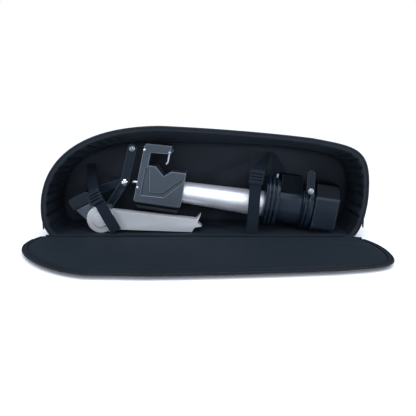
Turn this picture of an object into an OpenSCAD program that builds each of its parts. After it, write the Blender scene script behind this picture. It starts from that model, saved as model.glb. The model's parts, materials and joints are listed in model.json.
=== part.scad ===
// Padded carry case for a small telescope pier kit, standing on its hinge side with the lid
// let down to the floor, and the kit strapped inside. Millimetres, +Z up, +Y towards the back.
// The origin is on the floor, in the middle of the base.

/* [Case] */
// Length of the rim, end to end
case_len = 892; // [860:1:930]
// Height of the rim at the big end
case_h = 307; // [295:1:320]
// Height of the rim at the shoulder of the small end
small_h = 263; // [255:1:275]
// How far the stiff lid reaches past the soft rim at the big end
lid_reach = 12; // [4:1:14]
// Depth from rim to back
case_d = 150; // [144:1:160]
// Height of the back at the big end
back_h = 270; // [262:1:276]
// Height of the back at the shoulder of the small end
back_small = 240; // [232:1:244]
// Thickness of the padded side wall
wall_t = 12; // [9:0.5:13]
// Thickness of the padded lid
lid_t = 16; // [15:0.5:17]
// Width of the zip tape round the lid and the rim
zip_w = 12; // [9:0.5:13]

/* [Straps] */
// Width of the webbing
web_w = 32; // [25:1:33]
// Thickness of the webbing
web_t = 1.6; // [1:0.1:2]

/* [Kit] */
// Tilt of the strapped instrument
kit_tilt = 8.5; // [7:0.5:9]
// Radius of the pier tube at the saddle
tube_r1 = 30.5; // [29:0.1:30.8]
// Radius of the pier tube at the drive
tube_r2 = 37.3; // [36:0.1:38]
// Half height of the drive flange
flange_r = 74; // [70:1:74]
// Radius of the arm's hub
hub_r = 39; // [37:0.5:39]

/* [Hidden] */
$fn = 48;
tiny = 0.01;
gap = 0.3;
front_y = -case_d / 2;
back_y = case_d / 2;

// Ends of the rim, and of the hinge edge on the floor between them.
x0 = -0.512 * case_len;
x1 = 0.488 * case_len;
hinge_l = x0 + 33;
hinge_r = x1 - 38;

// Points along a cubic curve from a to d, without the last one.
function curve(a, b, c, d, n) = [
  for (i = [0:n - 1]) let(t = i / n, u = 1 - t)
    u * u * u * a + 3 * u * u * t * b + 3 * u * t * t * c + t * t * t * d
];
// Outlines run from the hinge's left end round the big end, along the sloping top and down
// the small end. The back's big end is fuller, and the lid's is blunter at the hinge.
function big_end(h, rise, lean, reach) = concat(
  curve([hinge_l, 0], [x0 + 15, 10], [x0, 0.117 * h], [x0, 0.235 * h], 6),
  curve([x0, 0.235 * h], [x0, rise * h], [x0 + lean, h], [x0 + reach, h], 16)
);
function lid_end(h, x) = concat(
  curve([x + 21, 0], [x + 7, 0.03 * h], [x, 0.13 * h], [x, 0.245 * h], 6),
  curve([x, 0.245 * h], [x, 0.54 * h], [x + 136, 0.985 * h], [x + 228, 0.985 * h], 12),
  curve([x + 228, 0.985 * h], [x + 270, 0.985 * h], [x + 310, h], [x + 348, h], 3)
);
function small_end(h, s, near) = concat(
  curve([x0 + 332, h], [x0 + 437, 0.987 * h], [x1 - 285, s + 28], [x1 - 158, s + 12], 8),
  curve([x1 - 158, s + 12], [x1 - 35, s - 11], [x1 - 1, 0.95 * s], [x1, 0.49 * s], 12),
  curve([x1, 0.49 * s], [x1, 0.32 * s], [x1 - 8 - near, 0.11 * s], [hinge_r - near, 0], 6),
  [[hinge_r - near, 0]]
);
rim = concat(big_end(case_h, 0.635, 88, 332), small_end(case_h, small_h, 0));
back = concat(big_end(back_h, 0.7, 70, 270), small_end(back_h, back_small, 0));
lid_share = 0.99;
lid = concat(lid_end(case_h * lid_share, x0 - lid_reach),
  small_end(case_h * lid_share, small_h * lid_share, 9));

// Layers of the back, from the outside in, and of the base, from the floor up.
back_skin = 6;
board_t = 2;
lining_t = 4;
lining_y = back_y - back_skin - board_t - lining_t;
base_t = 6;
base_lining_t = 3;
base_in = 22;

// Lid hinge: a fold line on the floor, in front of the rim and of the zip that closes there.
fold_z = 1;
zip_gap = 5.5;
fold_y = front_y - lid_t - zip_gap + fold_z;
// The lid is domed outside: each layer is [height, distance in from the edge].
dome = [[0, 42], [2.5, 28], [7, 16], [11, 9]];
zip_start = 34;
coil_w = 3;
coil_t = 2;
tape_t = 1.5;

// Instrument: its own frame, along the pier tube, from the saddle's socket.
kit_x = -66;
kit_z = 118;
saddle_d = 76;
drive_y = -4;
drive_z = 12;
drive_flat = 12;

// Folding arm: places in the case.
hub = [-302, 49];
elbow = [-236, 151];
brace_top = [-211, 245];
lug = [-283, 82];
foot = [-357, 97];

// Carry handle on the top wall, behind the rim.
handle_at = [-20, 8, 284.5];
handle_turn = [-12.7, 2.1, 0];
ring_x = 78;
bar_r = 1.8;
pin_z = 5.4;

// ---- Building blocks ----

// Stands a flat shape up in the XZ plane, from y0 back to y1.
module plate(y0, y1) translate([0, y1, 0]) rotate([90, 0, 0]) linear_extrude(y1 - y0) children();

// Solid of the case drawn in by inset all round, longer by grow at each end.
module block(inset, grow = 0) hull() {
  plate(front_y - grow, front_y - grow + 1) offset(delta = -inset) polygon(rim);
  plate(back_y + grow - 1, back_y + grow) offset(delta = -inset) polygon(back);
}

// Everything between two depths.
module slab(y0, y1) translate([-600, y0, -50]) cube([1200, y1 - y0, 500]);

// Space over the base, between the hinge's two ends.
module over_base(side, z1) translate([hinge_l + side, -300, -20])
  cube([hinge_r - hinge_l - 2 * side, 600, 20 + z1]);

// Ring of the wall between two insets and two depths.
module wall_ring(in1, in2, y0, y1) difference() {
  intersection() {
    block(in1, 2);
    slab(y0, y1);
  }
  block(in2, 2);
}

// Flat ring along the rim's outline, leaving the hinge side open.
module rim_band(in1, in2, y0, y1, z0) difference() {
  plate(y0, y1) offset(delta = -in1) polygon(rim);
  plate(y0 - 1, y1 + 1) offset(delta = -in2) polygon(rim);
  translate([-600, -300, -20]) cube([1200, 600, 20 + z0]);
}

// The lid's own outline lies in front of the fold, mirrored, with its outer face on the floor.
module lid_shape(inset, z) translate([0, fold_y + fold_z, z]) mirror([0, 1, 0])
  linear_extrude(tiny) intersection() {
    offset(delta = -inset) polygon(lid);
    translate([-600, 3]) square([1200, 600]);
  }
module lid_layer(inset, z0, z1) translate([0, fold_y + fold_z, z0]) mirror([0, 1, 0])
  linear_extrude(z1 - z0) intersection() {
    offset(delta = -inset) polygon(lid);
    translate([-600, 3]) square([1200, 600]);
  }
module lid_band(in1, in2, z0, z1, start) difference() {
  lid_layer(in1, z0, z1);
  translate([0, fold_y + fold_z, z0 - 1]) mirror([0, 1, 0]) linear_extrude(z1 - z0 + 2) union() {
    offset(delta = -in2) polygon(lid);
    translate([-600, -20]) square([1200, 20 + start]);
  }
}

// Ribbon of webbing between two points, each with its own sideways direction.
module slat(p, turn, w = web_w) translate(p) rotate(turn)
  translate([-w / 2, -web_t / 2, -tiny]) cube([w, web_t, 2 * tiny]);
module ribbon(p, q, turn_p, turn_q) hull() {
  slat(p, turn_p);
  slat(q, turn_q);
}

// Ladder adjuster: a frame with four bars, standing in the XZ plane.
module adjuster() plate(-2.5, 2.5) difference() {
  square([web_w + 6, 36], center = true);
  for (i = [-1:1]) translate([0, i * 8.5]) square([web_w, 4], center = true);
}

// Frame of the strapped instrument.
module kit() translate([kit_x, 0, kit_z]) rotate([0, kit_tilt, 0]) children();
module along(x) translate([x, 0, 0]) rotate([0, 90, 0]) children();

// Oval slice of the drive, r high and a little less deep, standing across the tube's axis.
module oval(x, len, r) translate([x, drive_y, drive_z]) rotate([90, 0, 90]) linear_extrude(len)
  union() {
    for (s = [-1, 1]) translate([0, s * drive_flat]) circle(r - drive_flat, $fn = 96);
    square([2 * (r - drive_flat), 2 * drive_flat], center = true);
  }

// Bar with round ends in the XZ plane, with a hole at each end.
module bar(p, q, w, y0, y1, hole_p, hole_q) plate(y0, y1) difference() {
  union() {
    translate(p) circle(w / 2);
    translate(q) circle(w / 2);
    translate(p) rotate(atan2(q[1] - p[1], q[0] - p[0])) translate([0, gap / 4 - w / 2])
      square([norm(q - p), w - gap / 2]);
  }
  if (hole_p > 0) translate(p) circle(hole_p);
  if (hole_q > 0) translate(q) circle(hole_q);
}

// Round pin along Y.
module pin(p, r, y0, y1) translate([p[0], y0, p[1]]) rotate([-90, 0, 0]) cylinder(h = y1 - y0, r = r);

// ---- Case ----

module side_wall() color("#141b24") difference() {
  wall_ring(0, wall_t, front_y, back_y - back_skin);
  over_base(6, base_t + gap);
  over_base(base_in - gap, wall_t + 3);
}

module base_wall() color("#141b24") translate([hinge_l + 6 + gap, front_y, 0])
  cube([hinge_r - hinge_l - 12 - 2 * gap, case_d - back_skin, base_t]);

module base_lining() color("#1c242e") translate([hinge_l + base_in, front_y + 1, base_t])
  cube([hinge_r - hinge_l - 2 * base_in, lining_y - front_y - 1.5, base_lining_t]);

module back_panel() color("#141b24") plate(back_y - back_skin, back_y) polygon(back);

module back_board() color("#3a3f44") plate(back_y - back_skin - board_t, back_y - back_skin)
  intersection() {
    offset(delta = -wall_t - 5) polygon(back);
    translate([-600, base_t + 4]) square([1200, 400]);
  }

module back_lining() color("#1c242e") plate(lining_y, lining_y + lining_t) intersection() {
  offset(delta = -wall_t - 2.5) polygon(back);
  translate([-600, base_t + 4]) square([1200, 400]);
}

module wall_lining() color("#1c242e") difference() {
  wall_ring(wall_t + 0.2, wall_t + 1.8, front_y + 1, lining_y - 0.5);
  over_base(base_in - gap, wall_t + 3);
}

module rim_binding() color("#0c1118")
  rim_band(-1.5, coil_w + 0.5, front_y - tape_t - 1, front_y - tape_t, 12);

module back_piping() color("#0c1118") difference() {
  plate(back_y - 5, back_y - 1) offset(delta = 2) polygon(back);
  plate(back_y - 6, back_y) offset(delta = gap) polygon(back);
  translate([-600, 0, -20]) cube([1200, 300, 24]);
}

module rim_zip_tape() color("#0f151d") rim_band(0, zip_w, front_y - tape_t, front_y, 4);

module rim_zip_coil() color("#080b10")
  rim_band(0, coil_w, front_y - tape_t - 1 - coil_t, front_y - tape_t - 1, zip_start);

module hinge_strip() color("#141b24") translate([hinge_l + 4, fold_y + fold_z, 0])
  cube([hinge_r - hinge_l - 8, front_y - fold_y - fold_z - gap, 2.5]);

// ---- Lid ----

module lid_shell() color("#141b24") difference() {
  hull() for (d = dome) lid_shape(d[1], d[0]);
  hull() for (d = dome) lid_shape(d[1] + 3, d[0] + 2.5);
}
module lid_foam() color("#5a5f66") difference() {
  hull() {
    for (d = dome) lid_shape(d[1] + 3.2, d[0] + 2.7);
  }
  lid_layer(-30, lid_t - 3, lid_t + 3);
}
module lid_lining() color("#212933") lid_layer(zip_w + 1, lid_t - 2.8, lid_t);
module lid_hinge_roll() color("#212933") translate([hinge_l - 16, fold_y - 6, lid_t])
  rotate([0, 90, 0]) cylinder(h = hinge_r - hinge_l + 8, r = 3.6);
module lid_piping() color("#0c1118") lid_band(zip_w - 3.5, zip_w + 0.7, lid_t - 3.8, lid_t - 0.3, 14);
module lid_zip_tape() color("#0f151d") lid_band(0, zip_w - 3.8, lid_t - 3.5, lid_t - 2, zip_start);
module lid_zip_coil() color("#080b10") lid_band(0, coil_w, lid_t - 1.7, lid_t + 0.3, zip_start);

// ---- Zip sliders, parked on the ends of the zip, round on the outside of the walls ----

end_y = front_y + 22;
slider_l = [x0 - 2.6, 52];
slider_r = [x1 - 4.2, 58];
turn_l = 0;
turn_r = 13;
// Pin hole of a slider's bridge: out from the wall, and up.
eye = [3.3, 4];
module zip_end() difference() {
  intersection() {
    block(-1.8);
    slab(end_y - 8, end_y + 8);
  }
  block(-gap);
  translate([-600, -300, 92]) cube([1200, 600, 400]);
  translate([-600, -300, -50]) cube([1200, 600, 60]);
}
module on_wall(at, turn, side) translate([at[0], end_y, at[1]]) rotate([0, turn, 0])
  mirror([side > 0 ? 0 : 1, 0, 0]) children();
module slider() {
  translate([0, -4.5, -1]) cube([1.8, 9, 14]);
  difference() {
    translate([1.8, -1.2, 2]) cube([3, 2.4, 7]);
    translate([eye[0], -2, eye[1]]) rotate([-90, 0, 0]) cylinder(h = 4, r = 0.8);
  }
}
// The pull hangs straight down from its pin, whatever the slider's lean.
module pull(at, turn, side) translate([
  at[0] + side * (eye[0] * cos(turn) + eye[1] * sin(turn)), end_y,
  at[1] - eye[0] * sin(turn) + eye[1] * cos(turn)
]) {
  translate([0, -4, 0]) rotate([-90, 0, 0]) cylinder(h = 8, r = 0.7);
  for (s = [-1, 1]) translate([-0.7, s * 3 - 1, -13]) cube([1.4, 2, 14]);
  translate([-0.7, -4.5, -34]) cube([1.4, 9, 22]);
}
module zip_ends() color("#0f151d") zip_end();
module zip_slider_left() color("#1a1a1c") on_wall(slider_l, turn_l, -1) slider();
module zip_slider_right() color("#1a1a1c") on_wall(slider_r, turn_r, 1) slider();
module zip_pull_left() color("#1a1a1c") pull(slider_l, turn_l, -1);
module zip_pull_right() color("#1a1a1c") pull(slider_r, turn_r, 1);

// ---- Straps ----

left_top = [-350, lining_y - 1, 192];
left_mid = [-312, -44, 116];
left_low = [-255, -64, 18.5];
lean = -28;
right_top = [186, lining_y - 1.2, 226];
right_mid = [131, -66, 172];
right_low = [121, -66, 12];

module left_strap_upper() color("#1a2029") hull() {
  slat(left_top, [0, -12, 0], 24);
  slat(left_mid + [-6, 3, 16], [0, lean, 0]);
}
module left_strap_lower() color("#1a2029") {
  ribbon(left_mid + [-6, 1, 16 - gap], left_mid + [14, -17, -20], [0, lean, 0], [0, lean, 0]);
  ribbon(left_mid + [14, -17, -20], left_low, [0, lean, 0], [0, lean, 0]);
}
module right_strap_front() color("#1a2029") {
  ribbon(right_low, right_mid + [0, 0, -8], [0, 4, 0], [0, 4, 0]);
  ribbon(right_mid + [0, 0, -8], right_mid + [4, 3, 14], [0, 4, 0], [0, 14, 0]);
}
module right_strap_upper() color("#1a2029") hull() {
  slat(right_mid + [4.3, 3.5, 14 + gap], [0, 14, 0]);
  slat(right_top, [0, 50, 0], 16);
}
module right_strap_rear() color("#1a2029") hull() {
  slat([194, lining_y - 1.2, 218], [0, -60, 0], 12);
  slat([232, lining_y - 1.2, 60], [0, -13, 0], 28);
}
module left_adjuster() color("#0b0d10") translate(left_mid + [-1, -18, -2]) rotate([0, lean, 0])
  rotate([-24, 0, 0]) adjuster();
module right_adjuster() color("#0b0d10") translate(right_mid + [1, -4, 0]) rotate([0, 8, 0]) adjuster();

// ---- Carry handle ----

module on_top() translate(handle_at) rotate(handle_turn) children();
module handle_tabs() color("#10161e") on_top() for (s = [-1, 1]) translate([s * ring_x, 0, 0]) {
  translate([-web_w / 2, -46, 0]) cube([web_w, 42, 2]);
  translate([-web_w / 2, 0, pin_z]) rotate([0, 90, 0]) difference() {
    cylinder(h = web_w, r = bar_r + 2);
    translate([0, 0, -1]) cylinder(h = web_w + 2, r = bar_r + 0.05);
  }
  translate([-web_w / 2, -5, 0]) cube([web_w, 4.5, 3.2]);
}
module handle_rings() color("#8a8f96") on_top() for (s = [-1, 1]) translate([s * ring_x, 0, pin_z]) {
  for (y = [0, 13]) translate([-21, y, 0]) rotate([0, 90, 0]) cylinder(h = 42, r = bar_r);
  for (x = [-21, 21]) translate([x, 0, 0]) rotate([-90, 0, 0]) cylinder(h = 13, r = bar_r);
}
module handle_strap() color("#1a2029") on_top() {
  for (s = [-1, 1]) translate([s * ring_x - web_w / 2, 15, pin_z - 3]) cube([web_w, 14, 5.5]);
  translate([-ring_x - web_w / 2, 29, pin_z - 3]) cube([2 * ring_x + web_w, 30, 2.6]);
}
module handle_grip() color("#10161e") on_top() translate([-52, 27, pin_z - 0.4 + gap])
  cube([104, 34, 9]);

// ---- Kit: saddle, tube and drive ----

saddle_outline = [
  [-122, 125], [-128, 116], [-140, -38], [-8, -38], [-5, -21], [-4, 59], [-45, 58], [-64, 42],
  [-90, 66], [-111, 66], [-108, 102], [-60, 105], [-60, 112], [-53, 116], [-53, 128]
];
saddle_groove = [
  [-117, 57], [-106, 58], [-99, -9], [-63, -6], [-11, 41], [-10, 31], [-57, -17], [-122, -20]
];
latch_at = [-57, 110];
module saddle_body() color("#5a6169") kit() difference() {
  union() {
    plate(-saddle_d / 2, saddle_d / 2) polygon(saddle_outline);
    for (y = [-saddle_d / 2, 30]) plate(y, y + 8) translate(latch_at) circle(6);
  }
  plate(-saddle_d / 2 - 1, -saddle_d / 2 + 5) polygon(saddle_groove);
  along(-40) cylinder(h = 60, r = tube_r1 + 0.9, $fn = 96);
  translate([-67, -29.5, 100]) cube([20, 59, 17]);
  pin(latch_at, 2.65, -39, 39);
  for (p = [[-126, 108], [-133, 1]]) pin(p, 3.2, -saddle_d / 2 - 1, -saddle_d / 2 + 8);
  along(-141) translate([-9, 0, 0]) cylinder(h = 12, r = 5.1);
}
module saddle_base() color("#15181c") kit() intersection() {
  plate(-saddle_d / 2, saddle_d / 2) polygon([[-140, -38], [-126, -62], [-15, -60], [-8, -38]]);
  rotate([90, 0, 90]) translate([0, 0, -200]) linear_extrude(300) union() {
    for (s = [-1, 1]) translate([s * 16, -40]) circle(22);
    translate([-16, -62]) square([32, 24]);
  }
}
module saddle_pin() color("#e8e8ea") kit() along(-154) translate([-9, 0, 0]) cylinder(h = 25, r = 5);
module saddle_screws() color("#e8e8ea") kit() for (p = [[-126, 108], [-133, 1]]) {
  pin(p, 3, -saddle_d / 2 - 1.5, -saddle_d / 2 + 7.5);
}
module hook_latch() color("#c8cacd") kit() {
  pin(latch_at, 2.6, -37, 37);
  plate(-28, 28) difference() {
    polygon([[-59, 110], [-55, 110], [-56.5, 82], [-62, 74], [-64, 76], [-60, 84]]);
    translate(latch_at) circle(2.4);
  }
}
module pier_tube() color("#dfe2e8") kit() difference() {
  along(-34) cylinder(h = 258, r1 = tube_r1 - 1, r2 = tube_r2, $fn = 96);
  along(-35) cylinder(h = 260, r1 = tube_r1 - 3.5, r2 = tube_r2 - 2.5, $fn = 96);
}

// Each step is [start, length, radius] along the tube's axis.
flange_steps = [[224, 5, -4], [229, 7, 0], [236, 4, -4], [240, 7, 0], [247, 5, -5], [252, 10, -2]];
ring_steps = [[330, 5, -4], [335, 6, 0], [341, 4, -5], [345, 13, 0], [358, 4, -6]];
module drive_flange() color("#1d2126") kit() for (s = flange_steps) oval(s[0], s[1], flange_r + s[2]);
module drive_body() color("#2b3036") kit() oval(262, 68, flange_r - 17);
lever_at = [340, 66];
lever_end = [333, 111];
module drive_ring() color("#1d2126") kit() difference() {
  union() {
    for (s = ring_steps) oval(s[0], s[1], flange_r - 7 + s[2]);
    pin(lever_at, 9, -64, -30);
  }
  pin(lever_at, 4.05, -66, -44);
}
box_section = [[-47, 50], [24, 50], [24, 96], [-32, 96], [-47, 55]];
module drive_box() color("#0e1114") kit() difference() {
  translate([263, 0, 0]) rotate([90, 0, 90]) linear_extrude(62) polygon(box_section);
  oval(262, 68, flange_r - 17 + gap);
}
cap_section = [
  [-64, -34], [-54, -44], [38, -44], [54, -28], [54, 70], [34, 90], [-26, 90], [-35, 86], [-60, 51],
  [-64, 45]
];
module drive_cap() color("#20252b") kit() difference() {
  translate([362, 0, 0]) rotate([90, 0, 90]) linear_extrude(68) polygon(cap_section);
  translate([430, 0, 90]) rotate([0, 45, 0]) cube([9, 300, 9], center = true);
  translate([430, 0, -44]) rotate([0, 45, 0]) cube([22, 300, 22], center = true);
  translate([430, -64, 0]) rotate([0, 0, 45]) cube([6, 6, 300], center = true);
}
module drive_lever() color("#14181c") kit() bar(lever_at, lever_end, 23, -71, -64.5, 4.08, 0);
module drive_screws() color("#c8cacd") kit() {
  pin(lever_at, 4, -72, -45);
  pin(lever_at, 8, -74.5, -71 - gap);
  translate([252, -20, 82.5]) cylinder(h = 12, r = 4);
}

// ---- Kit: folding arm ----

module at_hub() translate([hub[0], 0, hub[1]]) children();
cover_outline = [
  [20, 27], [268, -1], [282, 14], [272, -10], [284, -21], [265, -24], [256, -37], [56, -30],
  [20, -36]
];
core_outline = [[30, 22], [262, -5], [258, -20], [248, -33], [60, -26], [30, -31]];
module hub_housing() color("#c9cbcf") pin(hub, hub_r, -50, -14);
module hub_cap() color("#c9cbcf") pin(hub, 22, -54, -50);
module arm_cover() color("#c9cbcf") difference() {
  at_hub() plate(-48, -16) polygon(cover_outline);
  at_hub() plate(-45, -15) polygon(core_outline);
  pin(hub, hub_r + gap, -60, 0);
}
module arm_core() color("#181c20") difference() {
  at_hub() plate(-44, -14) offset(delta = -1.5) polygon(core_outline);
  pin(hub, hub_r + 2, -60, 0);
}
module arm_collar() color("#4a4f55") difference() {
  plate(-44, -14) polygon([[-371, 74], [-330, 95], [-306, 74], [-338, 42]]);
  pin(hub, hub_r + gap, -60, 0);
}
module arm_foot() color("#14171b") translate([foot[0], 0, foot[1]]) rotate([0, -27, 0])
  translate([0, -42, 0]) difference() {
    translate([-31, 0, -13]) cube([62, 44, 34]);
    for (x = [-31, 31]) translate([x, 22, 21]) rotate([0, 45, 0]) cube([9, 60, 9], center = true);
  }
module brace_link() color("#1f242a") bar([-336, 118], elbow, 22, 4, 10, 0, 4.2);
module brace_lower() color("#2a3036") difference() {
  bar(lug, elbow, 23, -13, 3, 0, 4.2);
  plate(-14, -9) translate(lug) rotate(atan2(elbow[1] - lug[1], elbow[0] - lug[0]))
    translate([4, -6]) square([58, 12]);
}
module brace_upper() color("#1f252c") bar(elbow, brace_top, 25, -21, -14, 4.08, 3.2);
module brace_bolt() color("#c8cacd") {
  pin(elbow, 4, -22, 14);
  pin(elbow, 9, -26, -21 - gap);
}
module brace_top_screw() color("#c8cacd") {
  pin(brace_top, 3.2, -21, -8);
  pin(brace_top, 7, -25, -21);
  pin(brace_top, 9, -14, -9);
}
module brace_lug() color("#6a6f75") difference() {
  pin([lug[0] + 3, lug[1] - 3], 7, -40, -13 - gap);
  at_hub() plate(-50, -10) offset(delta = gap) polygon(cover_outline);
  pin(hub, hub_r + gap, -60, 0);
}

side_wall();
base_wall();
base_lining();
back_panel();
back_board();
back_lining();
wall_lining();
rim_binding();
back_piping();
rim_zip_tape();
rim_zip_coil();
hinge_strip();
left_strap_upper();
left_strap_lower();
right_strap_front();
right_strap_upper();
right_strap_rear();
left_adjuster();
right_adjuster();
handle_tabs();
handle_rings();
handle_strap();
handle_grip();
lid_shell();
lid_foam();
lid_lining();
lid_hinge_roll();
lid_piping();
lid_zip_tape();
lid_zip_coil();
zip_ends();
zip_slider_left();
zip_slider_right();
zip_pull_left();
zip_pull_right();
saddle_body();
saddle_base();
saddle_pin();
saddle_screws();
hook_latch();
pier_tube();
drive_flange();
drive_body();
drive_box();
drive_ring();
drive_cap();
drive_lever();
drive_screws();
hub_housing();
hub_cap();
arm_cover();
arm_core();
arm_collar();
arm_foot();
brace_link();
brace_lower();
brace_upper();
brace_bolt();
brace_top_screw();
brace_lug();
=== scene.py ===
"""Padded D-shaped carry case with its lid let down, and a telescope pier kit strapped inside.

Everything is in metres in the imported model's own frame: +X along the case, +Y to its back, +Z up.
"""
import json
import math

import bmesh
import bpy
import numpy as np
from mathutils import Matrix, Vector

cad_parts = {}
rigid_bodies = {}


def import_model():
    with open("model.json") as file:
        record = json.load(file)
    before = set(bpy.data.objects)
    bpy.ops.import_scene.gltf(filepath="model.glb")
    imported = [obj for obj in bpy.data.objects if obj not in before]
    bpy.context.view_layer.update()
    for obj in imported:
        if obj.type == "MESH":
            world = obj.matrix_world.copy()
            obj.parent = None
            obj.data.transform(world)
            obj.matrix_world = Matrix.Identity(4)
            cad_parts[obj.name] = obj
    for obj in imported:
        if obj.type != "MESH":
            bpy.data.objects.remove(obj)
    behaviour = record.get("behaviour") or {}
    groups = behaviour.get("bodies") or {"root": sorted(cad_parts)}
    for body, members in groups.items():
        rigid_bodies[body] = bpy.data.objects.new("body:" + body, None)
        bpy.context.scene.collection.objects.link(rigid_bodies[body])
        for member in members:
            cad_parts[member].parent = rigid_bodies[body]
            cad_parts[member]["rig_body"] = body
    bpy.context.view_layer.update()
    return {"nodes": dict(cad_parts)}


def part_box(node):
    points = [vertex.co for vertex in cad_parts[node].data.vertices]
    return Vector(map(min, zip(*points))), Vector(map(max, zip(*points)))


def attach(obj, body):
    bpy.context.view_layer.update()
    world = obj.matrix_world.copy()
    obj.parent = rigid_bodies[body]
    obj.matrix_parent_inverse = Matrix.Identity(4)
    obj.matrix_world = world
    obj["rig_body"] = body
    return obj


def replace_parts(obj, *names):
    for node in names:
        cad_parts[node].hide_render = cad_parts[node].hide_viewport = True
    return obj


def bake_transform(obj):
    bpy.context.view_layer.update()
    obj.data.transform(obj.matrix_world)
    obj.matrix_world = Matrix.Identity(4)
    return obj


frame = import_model()


# ---- Padded side wall ----
# A strip of foam between two layers of ballistic nylon, bent round the D-shaped rim and sewn to
# the back panel along a piped seam. The weave is coarse and dull, with a faint bluish bloom.

mm = 0.001
wall_low, wall_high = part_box("side_wall")
back_low, back_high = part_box("back_panel")
front_y, back_y = wall_low.y, back_high.y
left_x, right_x = wall_low.x, wall_high.x
hinge_left, hinge_right = left_x + 33 * mm, right_x - 38 * mm
rim_high, back_rim_high = wall_high.z, back_high.z
rim_shoulder, back_shoulder = 0.857 * rim_high, 0.889 * back_rim_high
line_points = 600


def linear(colour):
    """sRGB hex to linear colour: c / 12.92 below 0.04045, else ((c + 0.055) / 1.055) ** 2.4."""
    parts = [int(colour[i:i + 2], 16) / 255 for i in (1, 3, 5)]
    return [c / 12.92 if c <= 0.04045 else ((c + 0.055) / 1.055) ** 2.4 for c in parts] + [1.0]


def add(tree, kind, settings=None, links=None):
    """Adds one node: settings fill its properties or its sockets, links join sockets to outputs."""
    node = tree.nodes.new("ShaderNode" + kind)
    for key, value in (settings or {}).items():
        if isinstance(key, str) and hasattr(node, key):
            setattr(node, key, value)
        else:
            node.inputs[key].default_value = value
    for key, output in (links or {}).items():
        tree.links.new(output, node.inputs[key])
    return node


def finish(name, **shader):
    """A new material with a principled shader set to these socket values, and its node tree."""
    material = bpy.data.materials.new(name)
    material.use_nodes = True
    tree = material.node_tree
    tree.nodes.clear()
    settings = {key.replace("_", " "): value for key, value in shader.items()}
    surface_node = add(tree, "BsdfPrincipled", settings)
    add(tree, "OutputMaterial", None, {"Surface": surface_node.outputs["BSDF"]})
    return material, tree, surface_node


def tone(tree, low, high, factor):
    """Mix of two sRGB hex colours by a factor."""
    mix = add(tree, "Mix", {"data_type": "RGBA"}, {0: factor})
    mix.inputs[6].default_value = linear(low)
    mix.inputs[7].default_value = linear(high)
    return mix.outputs[2]


def times(tree, a, b, operation="MULTIPLY"):
    """a and b joined by one maths operation; either may be a number or an output."""
    node = add(tree, "Math", {"operation": operation})
    for slot, value in ((0, a), (1, b)):
        if isinstance(value, (int, float)):
            node.inputs[slot].default_value = value
        else:
            tree.links.new(value, node.inputs[slot])
    return node.outputs[0]


def wave_scale(spacing):
    """Scale of a band wave whose crests are that far apart: one turn is pi / 10 at scale 1."""
    return math.pi / 10 / spacing


def woven(name, low, high, thread, bump, cloudy=14, gloss=0.16, rough=0.78):
    """Plain weave: two crossed waves, a thread apart in the piece's UV metres, multiplied."""
    material, tree, skin = finish(
        name, Roughness=rough, Specular_IOR_Level=gloss, Sheen_Weight=0.05, Sheen_Roughness=0.5)
    skin.inputs["Sheen Tint"].default_value = linear("#8fa3b8")
    uv = add(tree, "UVMap", {"uv_map": "cloth"}).outputs[0]
    warp, weft = (
        add(tree, "TexWave", {"bands_direction": way, "Scale": wave_scale(thread)}, {"Vector": uv})
        for way in "XY")
    weave = times(tree, warp.outputs["Fac"], weft.outputs["Fac"])
    place = add(tree, "TexCoord").outputs["Object"]
    clouds = add(tree, "TexNoise", {"Scale": cloudy, "Detail": 3.0}, {"Vector": place}).outputs["Fac"]
    shade = times(tree, times(tree, weave, 0.35), times(tree, clouds, 0.65), "ADD")
    tree.links.new(tone(tree, low, high, shade), skin.inputs["Base Color"])
    folds = add(tree, "TexNoise", {"Scale": 60, "Detail": 2.0}, {"Vector": place}).outputs["Fac"]
    height = times(tree, weave, times(tree, folds, 1.5), "ADD")
    relief = add(tree, "Bump", {"Strength": 0.6, "Distance": bump}, {"Height": height})
    tree.links.new(relief.outputs[0], skin.inputs["Normal"])
    return material


def cubic(a, b, c, d):
    """Cubic curve from a to d, pulled towards b and c: u^3 a + 3 u^2 t b + 3 u t^2 c + t^3 d."""
    t = np.linspace(0, 1, 60)[:, None]
    u = 1 - t
    a, b, c, d = (np.array(p, float) for p in (a, b, c, d))
    return u ** 3 * a + 3 * u * u * t * b + 3 * u * t * t * c + t ** 3 * d


def evenly(line, n):
    """The same line as n points that lie an equal distance apart along it."""
    step = np.linalg.norm(np.diff(line, axis=0), axis=1)
    line = line[np.r_[True, step > 1e-7]]
    along = np.r_[0, np.cumsum(np.linalg.norm(np.diff(line, axis=0), axis=1))]
    at = np.linspace(0, along[-1], n)
    return np.column_stack([np.interp(at, along, line[:, k]) for k in range(line.shape[1])])


def small_end(high, shoulder, near):
    """Sloping top and small end of an outline, as three cubic curves down to the hinge."""
    x, end = left_x, right_x
    return [
        cubic([x + .332, high], [x + .437, .987 * high], [end - .285, shoulder + .028],
              [end - .158, shoulder + .012]),
        cubic([end - .158, shoulder + .012], [end - .035, shoulder - .011],
              [end - .001, .95 * shoulder], [end, .49 * shoulder]),
        cubic([end, .49 * shoulder], [end, .32 * shoulder], [end - .008 - near, .11 * shoulder],
              [hinge_right - near, 0]),
    ]


def case_outline(high, shoulder, rise, lean, reach):
    """Open outline in X and Z, from the hinge's left end over the big end to its right end."""
    x = left_x
    parts = [
        cubic([hinge_left, 0], [x + .015, .010], [x, .117 * high], [x, .235 * high]),
        cubic([x, .235 * high], [x, rise * high], [x + lean, high], [x + reach, high]),
    ]
    return evenly(np.vstack(parts + small_end(high, shoulder, 0)), line_points)


def inward(line):
    """Unit directions to the right of a line that runs clockwise, softened over a few points."""
    ahead = np.gradient(line, axis=0)
    side = np.column_stack([ahead[:, 1], -ahead[:, 0]])
    kernel = np.hanning(9)[1:-1]
    kernel /= kernel.sum()
    side = np.column_stack([
        np.convolve(np.pad(side[:, k], 3, mode="edge"), kernel, mode="valid") for k in (0, 1)])
    return side / np.linalg.norm(side, axis=1)[:, None]


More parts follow.
